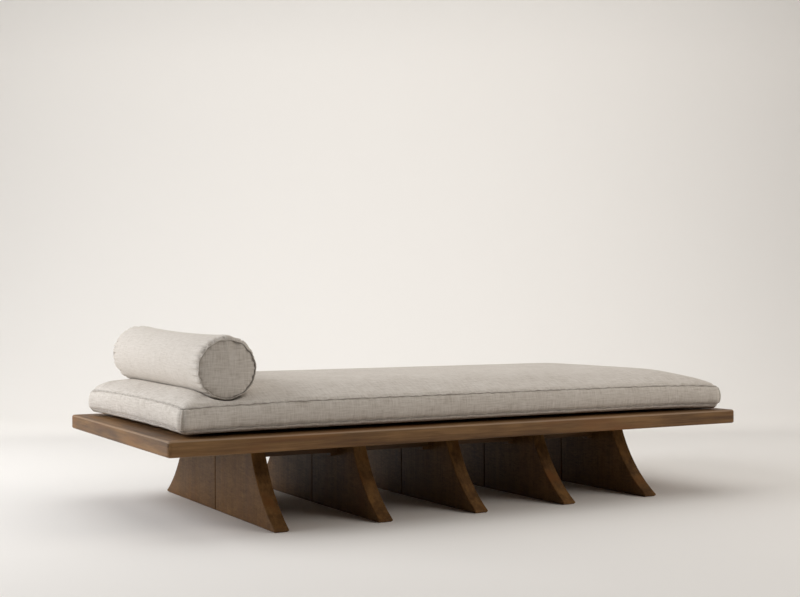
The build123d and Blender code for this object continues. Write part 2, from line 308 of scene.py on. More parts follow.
def make_stage():
    """A seamless floor that curves up into a wall behind the daybed, square to the camera."""
    ahead, right = camera_ways()
    section = [(FLOOR_NEAR, 0.0), (FLOOR_FAR, 0.0)]
    for step in range(1, SWEEP_STEPS + 1):
        turn = math.radians(90 * step / SWEEP_STEPS)
        section.append((FLOOR_FAR + SWEEP_BEND * math.sin(turn), SWEEP_BEND * (1 - math.cos(turn))))
    section.append((FLOOR_FAR + SWEEP_BEND, WALL_HEIGHT))
    points = [ahead * distance + right * (way * SWEEP_HALF) + Vector((0, 0, z))
              for distance, z in section for way in (-1, 1)]
    faces = [(2 * i, 2 * i + 1, 2 * i + 3, 2 * i + 2) for i in range(len(section) - 1)]
    mesh = bpy.data.meshes.new("studio_sweep")
    mesh.from_pydata(points, [], faces)
    mesh.shade_smooth()
    mesh.materials.append(stage_material())
    sweep = bpy.data.objects.new("studio_sweep", mesh)
    scene.collection.objects.link(sweep)


def make_lights():
    """A large softbox from the head end, slightly behind, a wash on the sweep and weak fills.

    The lights aren't themselves seen."""
    ahead, right = camera_ways()
    wash = ahead * 1.7 - right * 4.4 + Vector((0, 0, 2.2))
    facing_wall = wash + ahead - right * 0.05
    lights = LIGHTS | {"wash": (wash, facing_wall, 14.0, 2.4, 126, (1.0, 0.99, 0.975))}
    for name, (place, target, width, height, power, colour) in lights.items():
        data = bpy.data.lights.new(name, "AREA")
        data.shape = "RECTANGLE"
        data.size, data.size_y = width, height
        data.energy, data.color = power, colour
        light = bpy.data.objects.new(name, data)
        light.location = place
        towards = Vector(target) - Vector(place)
        light.rotation_euler = towards.to_track_quat("-Z", "Y").to_euler()
        light.visible_camera = False
        scene.collection.objects.link(light)
    world = bpy.data.worlds.new("sky")
    world.use_nodes = True
    background = world.node_tree.nodes["Background"]
    background.inputs["Color"].default_value = (1.0, 0.97, 0.93, 1)
    background.inputs["Strength"].default_value = 0.06
    scene.world = world
    scene.view_settings.view_transform = "Standard"


# -------------------- timber
GRAIN_TURNS = {"x": (0, 0, 0), "y": (0, 0, math.radians(90)), "z": (0, math.radians(90), 0)}


def timber(name, grain, seed, tone=1.0, figure=1.0, wear_and_highlight=False, gloss=0.34):
    """Oiled walnut with its grain along one axis. The seed moves the figure from board to board.

    A figure below 1 calms the streaks, except on faces turned to the front or back, and gives the
    calm faces a fine curl instead. With wear_and_highlight, the arrises that face up get a paler
    painted highlight."""
    tree = Tree(name)
    turned = tree.mapping(tree.object_place, turn=GRAIN_TURNS[grain])
    board = tree.mapping(turned, place=(seed * 1.37, seed * 0.71, seed * 0.43))
    broad = tree.noise(tree.mapping(board, scale=(1.6, 17, 17)), 1.0, 3, 0.55, 0.6)
    streaks = tree.noise(tree.mapping(board, scale=(4.5, 95, 95)), 1.0, 3, 0.6, 0.3)
    fibre = tree.noise(tree.mapping(board, scale=(14, 520, 520)), 1.0, 3, 0.65)
    pores = tree.noise(tree.mapping(board, scale=(30, 1100, 1100)), 1.0, 2, 0.7)
    blotch = tree.noise(board, 9.0, 2, 0.5)
    facing = [tree.math("ABSOLUTE", part) for part in tree.split(tree.object_normal)]
    strength, curl = 1.0, 0.0
    if figure < 1:
        strength = tree.range(facing[1], 0.30, 0.60, figure, 1.0)
        ripple = tree.noise(tree.mapping(board, scale=(105, 24, 24)), 1.0, 3, 0.6, 1.6)
        curl = tree.math("MULTIPLY", tree.math("SUBTRACT", ripple, 0.5),
                         tree.range(facing[1], 0.30, 0.60, 0.34, 0.0))
    figuring = tree.math("SUBTRACT", tree.weigh((streaks, 0.40), (broad, 0.44)), 0.42)
    mixed = tree.math("MULTIPLY_ADD", fibre, 0.24, tree.math("MULTIPLY", figuring, strength))
    mixed = tree.math("MULTIPLY_ADD", blotch, 0.16, tree.math("ADD", mixed, curl))
    dark, mid, light = (tinted(walnut, tone) for walnut in (WALNUT_DARK, WALNUT_MID, WALNUT_LIGHT))
    centre, spread = 0.20, 0.13
    colour = tree.ramp(mixed, (centre - spread, dark), (centre, mid), (centre + spread, light))
    open_pore = tree.range(pores, 0.60, 0.74)
    colour = tree.mix(tree.math("MULTIPLY", open_pore, 0.45), colour, tinted(dark, 0.45))
    patch = tree.noise(tree.mapping(board, scale=(3.1, 15, 15), place=(3, 7, 1)), 1.0, 2)
    ruddy = tree.math("MULTIPLY", tree.range(patch, 0.52, 0.74), strength)
    colour = tree.mix(ruddy, colour, tinted(mid, (1.22, 1.0, 0.82)))
    amber = tree.noise(tree.mapping(board, scale=(2.3, 22, 22), place=(9, 2, 5)), 1.0, 2)
    glow = tree.math("MULTIPLY", tree.range(amber, 0.54, 0.72, 0.0, 0.6), strength)
    colour = tree.mix(glow, colour, tinted(light, (1.10, 1.04, 0.86)))
    # Painted highlight: the arrises that face up are paler, standing in for the light they catch.
    if wear_and_highlight:
        squareness = tree.math("MAXIMUM", tree.math("MAXIMUM", facing[0], facing[1]), facing[2])
        upward = tree.range(tree.split(tree.object_normal)[2], 0.05, 0.25)
        painted_highlight = tree.math("MULTIPLY", tree.range(squareness, 0.985, 0.86, 0.0, 0.62), upward)
        colour = tree.mix(painted_highlight, colour, ARRIS_HIGHLIGHT)
    rough = tree.math("MULTIPLY_ADD", open_pore, 0.22, tree.math("MULTIPLY_ADD", broad, 0.14, 0.46))
    relief = tree.math("SUBTRACT", tree.math("MULTIPLY", fibre, 0.6), open_pore)
    return tree.finish(colour=colour, rough=rough, specular=gloss,
                       normal=tree.bump(relief, 0.0002, 0.5))


def steel(name):
    """Zinc-plated screw steel with fine turning marks and dull patches."""
    tree = Tree(name)
    turning = tree.noise(tree.mapping(tree.object_place, scale=(1, 1, 12)), 900.0, 2)
    dull = tree.noise(tree.object_place, 260.0, 3)
    colour = tree.ramp(dull, (0.35, (0.36, 0.35, 0.33)), (0.7, (0.58, 0.57, 0.54)))
    return tree.finish(colour=colour, rough=tree.math("MULTIPLY_ADD", dull, 0.25, 0.25),
                       metal=1.0, normal=tree.bump(turning, 0.00004, 0.4))


def brass(name, tone):
    """Antiqued brass for zips: dark, with brighter and smoother worn patches."""
    tree = Tree(name)
    wear_and_highlight = tree.noise(tree.object_place, 420.0, 4, 0.6)
    scratch = tree.noise(tree.mapping(tree.object_place, scale=(0.2, 1, 1)), 2600.0, 2)
    dark, light = tinted((0.20, 0.145, 0.080), tone), tinted((0.52, 0.40, 0.235), tone)
    return tree.finish(colour=tree.ramp(wear_and_highlight, (0.36, dark), (0.66, light)),
                       rough=tree.math("MULTIPLY_ADD", wear_and_highlight, -0.22, 0.50),
                       metal=1.0, normal=tree.bump(scratch, 0.00003, 0.5))


def dress(name, material):
    """Give a CAD node its material."""
    slots = nodes[name].data.materials
    slots.clear()
    slots.append(material)


def dress_frame():
    """Every timber node gets its own board, with the grain the way it would be sawn."""
    grains = {"platform_front": "x", "platform_back": "x", "platform_head": "y",
              "platform_foot": "y", "deck": "x", "cross_rail": "y", "tie_rail": "x",
              "leg_dowels": "y", "corner_splines": "x", "leg": "z"}
    # Painted shade: the legs take a darker tone (0.90), toning down how brightly the key light
    # falls on their faces.
    tones = {"deck": 1.15, "leg": 0.90, "tie_rail": 0.75, "leg_dowels": 1.7, "corner_splines": 1.4}
    boards = [name for name in sorted(nodes)
              if name.startswith(tuple(grains)) and "screws" not in name]
    for seed, name in enumerate(boards, 1):
        kind = next(k for k in grains if name.startswith(k))
        looks = {"figure": 0.32, "gloss": 0.16} if kind == "leg" else {}
        dress(name, timber(f"walnut_{name}", grains[kind], seed, tones.get(kind, 1.0),
                           wear_and_highlight=name.startswith("platform"), **looks))
    screw = steel("screw_zinc")
    dress("deck_screws", screw)
    dress("frame_screws", screw)


# -------------------- linen
def linen(along, across, tree, tone=1.0, spread=0.12):
    """Plain-weave melange linen: slubby threads both ways, a fine weave, and painted shade beside
    its seams.

    The two sockets are distances in metres along the cloth's two thread directions."""
    flat = tree.join(along, across, 0.0)
    warp = tree.noise(tree.mapping(flat, scale=(42, 700, 1)), 1.0, 3, 0.62)
    weft = tree.noise(tree.mapping(flat, scale=(700, 42, 1), place=(5, 3, 0)), 1.0, 3, 0.62)
    slub_warp = tree.noise(tree.mapping(flat, scale=(21, 250, 1), place=(2, 8, 0)), 1.0, 2, 0.5)
    slub_weft = tree.noise(tree.mapping(flat, scale=(250, 21, 1), place=(7, 1, 0)), 1.0, 2, 0.5)
    speck = tree.noise(tree.mapping(flat, place=(1, 4, 0)), 1500.0, 2, 0.7)
    cloud = tree.noise(tree.mapping(flat, place=(3, 3, 0)), 7.0, 3, 0.5)
    mixed = tree.weigh((weft, 0.19), (warp, 0.21), (slub_warp, 0.24), (slub_weft, 0.20),
                       (speck, 0.08), (cloud, 0.08))
    dark, mid, light = (tinted(thread, tone) for thread in (LINEN_DARK, LINEN_MID, LINEN_LIGHT))
    colour = tree.ramp(mixed, (0.5 - spread, dark), (0.5, mid), (0.5 + spread, light))
    # Painted shade: the linen is darker near a seam, standing in for the shadow in its crevice.
    gap = tree.math("ABSOLUTE", tree.attribute("seam_gap"))
    close = tree.math("SUBTRACT", 1.0, tree.range(gap, 0.0, SEAM_SHADE_REACH))
    colour = tree.mix(tree.math("MULTIPLY", close, SEAM_SHADE), colour, tinted(dark, 0.42))
    turn = math.pi / THREAD
    ridges = [tree.math("ABSOLUTE", tree.math("SINE", tree.math("MULTIPLY", way, turn)))
              for way in (along, across)]
    weave = tree.math("MULTIPLY", tree.math("ADD", *ridges), 0.5)
    slubs = tree.math("ADD", tree.math("ADD", warp, weft), tree.math("ADD", slub_warp, slub_weft))
    relief = tree.math("MULTIPLY_ADD", weave, 0.35, slubs)
    return tree.finish(colour=colour, rough=0.92, specular=0.12, sheen=0.10, sheen_rough=0.5,
                       sheen_tint=(1.0, 0.96, 0.90), normal=tree.bump(relief, 0.00035, 0.55))


def flat_linen(name, first, second):
    """Linen whose threads run along two of the frame's axes."""
    tree = Tree(name)
    place = tree.split(tree.object_place)
    return linen(place["XYZ".index(first)], place["XYZ".index(second)], tree)


def bolster_linen(name, on_disc):
    """Linen laid round the bolster's sleeve, or flat on its discs, in the bolster's own frame."""
    tree = Tree(name)
    back = bolster_frame().inverted()
    local = tree.mapping(tree.object_place, place=tuple(back.to_translation()),
                         turn=tuple(back.to_euler()))
    x, y, z = tree.split(local)
    if on_disc:
        # Painted shade: the discs take a darker tone (0.95), as they face the front, away from the
        # key light.
        return linen(x, z, tree, 0.95)
    around = tree.math("MULTIPLY", tree.math("ARCTAN2", x, z), BOLSTER_RADIUS)
    return linen(y, around, tree, spread=0.19)


def piping_linen(name):
    """Bias-cut linen for the thin piping, a shade deeper than the panels."""
    tree = Tree(name)
    x, y, z = tree.split(tree.object_place)
    along = tree.math("MULTIPLY", tree.math("ADD", x, y), 0.7)
    across = tree.math("MULTIPLY", tree.math("ADD", tree.math("SUBTRACT", x, y), z), 0.7)
    return linen(along, across, tree, 0.92)


def tape_weave(name, along, across):
    """Close herringbone zip tape."""
    tree = Tree(name)
    place = tree.split(tree.object_place)
    run, width = place["XYZ".index(along)], place["XYZ".index(across)]
    zigzag = tree.math("PINGPONG", width, 0.0022)
    rib = tree.math("SINE", tree.math("MULTIPLY", tree.math("ADD", run, zigzag), 3600.0))
    tone = tree.math("MULTIPLY_ADD", rib, 0.2, tree.noise(tree.object_place, 1400.0, 2))
    colour = tree.ramp(tone, (0.3, (0.16, 0.135, 0.11)), (0.75, (0.34, 0.30, 0.25)))
    return tree.finish(colour=colour, rough=0.85, normal=tree.bump(rib, 0.0001, 0.5))


# -------------------- mesh helpers
def add_piece(name, points, faces, body, material):
    """A new smooth mesh piece that rides on a body and takes the given material."""
    mesh = bpy.data.meshes.new(name)
    mesh.from_pydata([tuple(p) for p in points], [], [tuple(map(int, face)) for face in faces])
    mesh.validate()
    mesh.shade_smooth()
    mesh.materials.append(material)
    piece = bpy.data.objects.new(name, mesh)
    scene.collection.objects.link(piece)
    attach(piece, body)
    return piece


def read(items, name, width=3):
    """One property of a mesh's vertices, faces or edges, as an array with a row for each."""
    values = np.empty(len(items) * width)
    items.foreach_get(name, values)
    return values.reshape(-1, width)


def write_points(mesh, points):
    """Set a mesh's vertex places from an array."""
    mesh.vertices.foreach_set("co", np.ascontiguousarray(points, dtype=np.float32).ravel())
    mesh.update()


def write_field(mesh, name, values):
    """Store one number a vertex, for materials and for carrying through a subdivision."""
    field = mesh.attributes.get(name) or mesh.attributes.new(name, "FLOAT", "POINT")
    field.data.foreach_set("value", np.ascontiguousarray(values, dtype=np.float32))


def read_field(mesh, name):
    """Read back one number a vertex."""
    return read(mesh.attributes[name].data, "value", 1)[:, 0]


def crease_between(mesh, seams):
    """Keep the edges sharp whose two ends are both in the same seam, given as vertex masks."""
    first, second = read(mesh.edges, "vertices", 2).astype(int).T
    sharp = np.zeros(len(first), dtype=np.float32)
    for seam in seams:
        sharp[seam[first] & seam[second]] = 1.0
    crease = mesh.attributes.new("crease_edge", "FLOAT", "EDGE")
    crease.data.foreach_set("value", sharp)


def subdivide_once(piece):
    """Apply one smooth subdivision."""
    modifier = piece.modifiers.new("subdivide", "SUBSURF")
    modifier.levels = 1
    depsgraph = bpy.context.evaluated_depsgraph_get()
    fine = bpy.data.meshes.new_from_object(piece.evaluated_get(depsgraph))
    piece.modifiers.clear()
    coarse = piece.data
    fine.name = coarse.name
    piece.data = fine
    bpy.data.meshes.remove(coarse)
    crease = fine.attributes.get("crease_edge")
    if crease is not None:
        fine.attributes.remove(crease)


def inflate(piece, held, cap, pressure, stiffness, bending, spare):
    """Swell a closed cover with Cloth pressure, its seams held, and cap how far a point moves.

    Spare is the share of the spare fabric that each vertex gets, so that it puckers."""
    mesh = piece.data
    start = read(mesh.vertices, "co")
    pins = piece.vertex_groups.new(name="held")
    pins.add([int(i) for i in np.flatnonzero(held)], 1.0, "REPLACE")
    modifier = piece.modifiers.new("cloth", "CLOTH")
    cloth = modifier.settings
    cloth.quality = 6
    cloth.mass = 0.3
    cloth.tension_stiffness = stiffness
    cloth.compression_stiffness = stiffness
    cloth.shear_stiffness = stiffness / 3
    cloth.bending_stiffness = bending
    cloth.use_pressure = True
    cloth.uniform_pressure_force = pressure
    cloth.effector_weights.gravity = 0
    cloth.vertex_group_mass = "held"
    loose = piece.vertex_groups.new(name="loose")
    for step in range(1, 11):
        share = np.flatnonzero(np.round(spare * 10) == step)
        loose.add([int(i) for i in share], step / 10, "REPLACE")
    cloth.vertex_group_shrink = "loose"
    cloth.shrink_min = 0.0
    cloth.shrink_max = -SPARE_FABRIC
    modifier.collision_settings.use_collision = False
    modifier.collision_settings.use_self_collision = False
    modifier.point_cache.frame_start = 1
    modifier.point_cache.frame_end = CLOTH_FRAMES
    for step in range(1, CLOTH_FRAMES + 1):
        scene.frame_set(step)
    depsgraph = bpy.context.evaluated_depsgraph_get()
    moved = read(piece.evaluated_get(depsgraph).data.vertices, "co")
    piece.modifiers.clear()
    piece.vertex_groups.clear()
    scene.frame_set(1)
    shift = moved - start
    far = np.linalg.norm(shift, axis=1)
    scale = cap * np.tanh(far / cap) / np.maximum(far, 1e-9)
    write_points(mesh, start + shift * scale[:, None])


def waves(run, length, low, high, seed, count=5):
    """A smooth uneven wave, about 1 high, that repeats over a length: from low to high crests."""
    draw = np.random.default_rng(seed)
    total = np.zeros_like(run)
    for crests in draw.integers(low, high + 1, count):
        total += np.sin(2 * math.pi * (crests * run / length + draw.random()))
    return total / math.sqrt(count / 2) / 1.6


def faded(relief, gap):
    """A relief's height at a distance from its seam."""
    height, reach = relief
    return height * np.exp(-gap / reach)


def soft_min(a, b, width):
    """The lower of two surfaces, blended over a width."""
    share = np.clip(0.5 + 0.5 * (b - a) / width, 0, 1)
    return b * (1 - share) + a * share - width * share * (1 - share)


def grid_faces(start, rows, columns, upward):
    """Quads over a grid of vertices numbered along its columns."""
    corners = (0, columns, columns + 1, 1) if upward else (0, 1, columns + 1, columns)
    return [tuple(start + i * columns + j + corner for corner in corners)
            for i in range(rows - 1) for j in range(columns - 1)]


def ring_faces(first, second):
    """Quads between two closed rings of vertex numbers."""
    return list(zip(first, second, np.roll(second, -1), np.roll(first, -1)))


def tube(path, radius):
    """Points and faces of a round cord that closes on itself, given its path as an array."""
    ahead = np.roll(path, -1, 0) - np.roll(path, 1, 0)
    ahead /= np.linalg.norm(ahead, axis=1)[:, None]
    outward = path - path.mean(0)
    outward -= ahead * (outward * ahead).sum(1)[:, None]
    outward /= np.maximum(np.linalg.norm(outward, axis=1), 1e-9)[:, None]
    side = np.cross(ahead, outward)
    turns = 2 * math.pi * np.arange(TUBE_SIDES) / TUBE_SIDES
    ring = (outward[:, None, :] * np.cos(turns)[None, :, None]
            + side[:, None, :] * np.sin(turns)[None, :, None])
    points = (path[:, None, :] + radius * ring).reshape(-1, 3)
    faces = []
    rings = np.arange(len(points)).reshape(-1, TUBE_SIDES)
    for here, there in zip(rings, np.roll(rings, -1, 0)):
        faces += zip(here, np.roll(here, -1), np.roll(there, -1), there)
    return points, faces


def upright_tube(path, radius, outward):
    """Points and faces of a capped cord up a corner, whose rings lie level."""
    side = np.array([-outward[1], outward[0], 0])
    turns = 2 * math.pi * np.arange(TUBE_SIDES) / TUBE_SIDES
    ring = outward * np.cos(turns)[:, None] + side * np.sin(turns)[:, None]
    points = (path[:, None, :] + radius * ring[None]).reshape(-1, 3)
    rings = np.arange(len(points)).reshape(-1, TUBE_SIDES)
    faces = [tuple(rings[0])]
    for here, there in zip(rings, rings[1:]):
        faces += ring_faces(here, there)
    return points, faces + [tuple(reversed(rings[-1]))]


def add_piping(name, points, faces, body, shade, stands_for):
    """A piece of piping in place of a CAD welt. Its painted shade is given as a seam distance."""
    cord = add_piece(name, points, faces, body, linen_piping)
    write_field(cord.data, "seam_gap", np.broadcast_to(shade, len(points)))
    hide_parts(stands_for)


# -------------------- mattress
def grid_lines(half, spacing, edge_steps):
    """Grid line places from -half to half: even in the middle, closer beside the seams."""
    inner = half - edge_steps[-1] - spacing * 0.7
    count = max(2, round(2 * inner / spacing))
    middle = np.linspace(-inner, inner, count + 1)
    left = [-half] + [-half + step for step in edge_steps]
    return np.array(left + list(middle) + [-x for x in reversed(left)])


def into_corner(u, v, half_x, half_y, radius):
    """How far a place is into its corner each way: 0 where the arc starts, 1 at the rim."""
    return (np.clip(np.abs(u) - (half_x - radius), 0, None) / radius,
            np.clip(np.abs(v) - (half_y - radius), 0, None) / radius)


def round_corners(u, v, half_x, half_y, radius):
    """Bend a square-cornered rectangle so that its corners are arcs."""
    p, q = into_corner(u, v, half_x, half_y, radius)
    x = np.abs(u) - radius * p * (1 - np.sqrt(1 - q ** 2 / 2))
    y = np.abs(v) - radius * q * (1 - np.sqrt(1 - p ** 2 / 2))
    return np.sign(u) * x, np.sign(v) * y


def outward_ways(u, v, half_x, half_y, radius):
    """Unit directions out of a rounded rectangle's rim."""
    p, q = into_corner(u, v, half_x, half_y, radius)
    x = np.sign(u) * p * np.sqrt(1 - q ** 2 / 2)
    y = np.sign(v) * q * np.sqrt(1 - p ** 2 / 2)
    size = np.maximum(np.hypot(x, y), 1e-9)
    return x / size, y / size


def corner_share(u, v, reach):
    """1 at a corner of the mattress, fading over a reach."""
    return np.exp(-((MATTRESS_HALF[0] - np.abs(u)) + (MATTRESS_HALF[1] - np.abs(v))) / reach)


def seam_height(levels, u, v):
    """A seam's height: lower at the corners and higher along the sides."""
    near_corner = corner_share(u, v, 0.13)
    dropped = FOOT_SEAM_DROP * near_corner * (u > 0) if levels is TOP_SEAM else 0.0
    return levels[0] + (levels[1] - levels[0]) * (1 - near_corner) - dropped


def shoulder(distance, run, fullness):
    """Share of the crown's rise at a distance in from the seam: steep at first, then easing off."""
    left = 1 - np.clip(distance / run, 0, 1)
    return (1 - fullness) * (1 - left ** 2) + fullness * np.sqrt(np.maximum(1 - left ** 2, 0))


def crown_rise(u, v):
    """Share of the crown's rise over the top panel. The bolster's weight fills out the head end."""
    half_x, half_y = MATTRESS_HALF
    head = shoulder(half_x + u, HEAD_RUN, HEAD_FULLNESS)
    foot = shoulder(half_x - u, CROWN_RUN, FOOT_FULLNESS)
    side = shoulder(half_y - np.abs(v), CROWN_RUN, SIDE_FULLNESS)
    end = np.maximum(np.minimum(head, foot), 1e-3)
    side = np.maximum(side, 1e-3)
    blended = 1 / np.sqrt(end ** -2 + side ** -2 - 1)
    return np.where((end > 1.1e-3) & (side > 1.1e-3), blended, 0.0)


def seam_stand(u, v, lowness):
    """How far a seam stands out of the nominal outline: further at the corners and down low."""
    along_side = 0.0015 * lowness
    at_corner = (0.0090 + 0.0025 * lowness) * corner_share(u, v, 0.07)
    on_back = v > MATTRESS_HALF[1] - 1e-4
    at_zip = on_back * np.clip((ZIP_HALF + 0.10 - np.abs(u)) / 0.06, 0, 1)
    return (along_side + at_corner) * (1 - at_zip)


def band_bulge(u, v, level):
    """How far the border stands out of its seams, at a share of the way down it.

    Along the zip it is nearly flat, with a slight fullness above and below the tape."""
    half_x, half_y = MATTRESS_HALF
    on_end = (half_x - np.abs(u) < 1e-4).astype(float)
    reach = BULGE_SIDE + (BULGE_END - BULGE_SIDE) * on_end
    reach = reach + (BULGE_CORNER - reach) * corner_share(u, v, 0.10)
    plain = reach * (1 - (2 * level - 1) ** 2) ** 0.65
    zipped = 0.0030 * np.abs(np.sin(2 * math.pi * level)) - 0.0008
    on_back = (v > half_y - 1e-4) & (np.abs(u) < half_x - 1e-4)
    share = np.clip((ZIP_HALF + 0.045 - np.abs(u)) / 0.03, 0, 1) * on_back
    return plain * (1 - share) + zipped * share


def mattress_mesh():
    """The cover before it is inflated: points, faces and each vertex's place on the pattern.

    The pattern's level is 0 on the top panel, 0 to 1 down the border and 1 to 2 underneath."""
    half_x, half_y = MATTRESS_HALF
    xs = grid_lines(half_x, GRID_SPACING, SEAM_STEPS)
    ys = grid_lines(half_y, GRID_SPACING, SEAM_STEPS)
    nx, ny = len(xs), len(ys)
    u, v = (a.ravel() for a in np.meshgrid(xs, ys, indexing="ij"))
    grid = np.arange(nx * ny).reshape(nx, ny)
    rim = np.concatenate([grid[:, 0], grid[-1, 1:], grid[-2::-1, -1], grid[0, -2:0:-1]])
    rim_u, rim_v = u[rim], v[rim]
    ring_x, ring_y = round_corners(rim_u, rim_v, half_x, half_y, CORNER_RADIUS)
    out_x, out_y = outward_ways(rim_u, rim_v, half_x, half_y, CORNER_RADIUS)
    high, low = seam_height(TOP_SEAM, rim_u, rim_v), seam_height(LOW_SEAM, rim_u, rim_v)
    high_stand, low_stand = seam_stand(rim_u, rim_v, 0.0), seam_stand(rim_u, rim_v, 1.0)
    inset = np.minimum(half_x - np.abs(u), half_y - np.abs(v))

    # The top panel: a crown, fuller at the two back corners.
    x, y = round_corners(u, v, half_x, half_y, CORNER_RADIUS)
    base = seam_height(TOP_SEAM, u, v)
    z = base + (CROWN - CROWN_SWELL - base) * crown_rise(u, v)
    nook = (half_x - np.abs(u)) + (half_y - v)
    z += BACK_CORNER_PUFF * (1 - np.exp(-inset / 0.010)) * np.exp(-(nook / 0.11) ** 2)
    x[rim] += out_x * high_stand
    y[rim] += out_y * high_stand
    rows = [(x, y, z, u, v, np.zeros_like(u))]

    def add_ring(stand, height, level):
        """A ring of vertices below the rim, standing out from the outline."""
        rows.append((ring_x + out_x * stand, ring_y + out_y * stand, height, rim_u, rim_v,
                     np.full_like(rim_u, level)))

    # The border, then the curve under the low seam. It turns under more tightly at the foot.
    for level in BAND_LEVELS:
        stand = band_bulge(rim_u, rim_v, level) + high_stand + (low_stand - high_stand) * level
        add_ring(stand, high + (low - high) * level, level)
    add_ring(low_stand, low, 1.0)
    tight = 0.5 * corner_share(rim_u, rim_v, 0.10) * (rim_u > 0)
    for inward, share in UNDER_CURVE:
        stand = low_stand * (1 - share) - inward * (1 - tight)
        add_ring(stand, low + (DECK - low) * share * (1 + tight), 1 + share)

    # The bottom panel, flat on the deck but for a little lift at its edge.
    inner_x, inner_y = half_x - UNDER_REACH, half_y - UNDER_REACH
    x, y = round_corners(u * inner_x / half_x, v * inner_y / half_y, inner_x, inner_y,
                         CORNER_RADIUS / 2)
    lift = UNDER_LIFT * (seam_height(LOW_SEAM, u, v) - DECK) * np.exp(-(inset / UNDER_RUN) ** 2)
    lift *= 1 - 0.85 * corner_share(u, v, 0.10) * (u > 0)
    rows.append((x, y, DECK + lift, u, v, np.full_like(u, 2.0)))

    faces = grid_faces(0, nx, ny, True)
    above, start = rim, nx * ny
    for _ in rows[1:-1]:
        below = start + np.arange(len(rim))
        faces += ring_faces(above, below)
        above, start = below, start + len(rim)
    faces += ring_faces(above, start + rim) + grid_faces(start, nx, ny, False)
    x, y, z, u, v, level = (np.concatenate(column) for column in zip(*rows))
    return np.stack([x + MATTRESS_MIDDLE, y, z], 1), faces, u, v, level


def seam_sets(u, v, level):
    """Vertex masks of the top seam, the low seam and the four upright corner seams."""
    dx, dy = MATTRESS_HALF[0] - np.abs(u), MATTRESS_HALF[1] - np.abs(v)
    rim = np.minimum(dx, dy) < 1e-5
    corner = np.maximum(dx, dy) < 1e-5
    top = rim & (level < 1e-5)
    low = np.abs(level - 1) < 1e-5
    uprights = [corner & (level > -1e-5) & (level < 1 + 1e-5) & (u * sx > 0) & (v * sy > 0)
                for sx in (-1, 1) for sy in (-1, 1)]
    return top, low, uprights


def seam_gap(u, v, level):
    """Distance from each vertex of the mattress cover to its nearest seam."""
    dx, dy = MATTRESS_HALF[0] - np.abs(u), MATTRESS_HALF[1] - np.abs(v)
    border = TOP_SEAM[1] - LOW_SEAM[1]
    # The linen paints shade from this distance. The corner seams count 1.6 mm further off, so they
    # get less painted shade and a shallower groove.
    on_band = np.minimum(np.minimum(level, 1 - level) * border, dx + dy + 0.0016)
    under = (level - 1) * 0.025
    return np.where(level < 1e-5, np.minimum(dx, dy), np.where(level <= 1, on_band, under))


def perimeter_order(u, v):
    """A number that grows once round the mattress, to sort a seam's vertices."""
    half_x, half_y = MATTRESS_HALF
    front = v < -half_y + 1e-5
    foot = (u > half_x - 1e-5) & ~front
    back = (v > half_y - 1e-5) & ~foot
    return np.where(front, u, np.where(foot, 2 + v, np.where(back, 4 - u, 6 - v)))


def bolster_radius(run):
    """The sleeve's radius along the bolster: a little waist between fuller ends."""
    share = np.clip(np.abs(run) / BOLSTER_HALF, 0, 1)
    full = np.where(np.asarray(run) < 0, BOLSTER_FRONT, BOLSTER_BACK)
    return BOLSTER_WAIST + (full - BOLSTER_WAIST) * share ** 2


def press_under_bolster(points):
    """Lower the top panel where the bolster lies in it, and dish it a little all round."""
    local = points - BOLSTER_MIDDLE
    run, across = local @ BOLSTER_AXIS, local[:, 0]
    axis_height = BOLSTER_MIDDLE[2] + run * BOLSTER_AXIS[2]
    past_end = np.maximum(np.abs(run) - BOLSTER_HALF, 0)
    reach = bolster_radius(run) + BOLSTER_GAP
    drop = np.sqrt(np.maximum(reach ** 2 - across ** 2, 0))
    underside = np.where(np.abs(across) < reach * 0.98, axis_height - drop + 0.2 * past_end, 9.0)
    depth, spread = TROUGH_DISH
    dish = depth * np.exp(-(across / spread) ** 2) * np.exp(-(past_end / 0.05) ** 2)
    pressed = soft_min(points[:, 2] - dish, underside, TROUGH_BLEND)
    upper = points[:, 2] > 0.34
    points[:, 2] = np.where(upper, pressed, points[:, 2])


def finish_mattress(piece):
    """Seam grooves, puckers, the trough and flat places, on the subdivided cover."""
    mesh = piece.data
    u, v, level = (read_field(mesh, name) for name in ("pattern_u", "pattern_v", "pattern_level"))
    points, normals = read(mesh.vertices, "co"), read(mesh.vertex_normals, "vector")
    gap = seam_gap(u, v, level)
    beside_long_seam = MATTRESS_HALF[1] - np.abs(v) < MATTRESS_HALF[0] - np.abs(u)
    along_rim = np.where(beside_long_seam, u, v)
    run = np.where(level > 1e-5, u + v, along_rim)
    sewn = level < 1.5
    groove = SEAM_GROOVE[0] * np.exp(-(gap / SEAM_GROOVE[1]) ** 2)
    pucker = faded(PUCKER, gap) * waves(run, 1.0, 22, 48, 11, 9)
    wander = faded(SEAM_WANDER, gap) * waves(along_rim, 1.0, 12, 40, 15, 9)
    slack = faded(SLACK, gap) * waves(run, 1.0, 5, 13, 12, 7)
    settled = SETTLED * waves(u, 1.9, 3, 9, 13) * waves(v, 0.9, 2, 5, 14) * (level < 1e-5)
    shift = (pucker + slack - groove) * sewn + settled * np.clip(gap / 0.05, 0, 1)
    points += normals * shift[:, None]
    points[:, 2] += wander * sewn * (1 - corner_share(u, v, 0.03))
    press_under_bolster(points)
    past_end = np.maximum(np.abs(points[:, 0] - MATTRESS_MIDDLE) - ZIP_HALF - 0.012, 0)
    aside = np.maximum(np.abs(points[:, 2] - ZIP_HEIGHT) - ZIP_BED_HALF, 0)
    zip_bed = MATTRESS_HALF[1] - ZIP_BED + 0.6 * np.maximum(past_end * 0.3, aside)
    points[:, 1] = np.minimum(points[:, 1], zip_bed)
    points[:, 2] = np.maximum(points[:, 2], DECK)
    write_points(mesh, points)
    write_field(mesh, "seam_gap", gap)
    return points, u, v, level


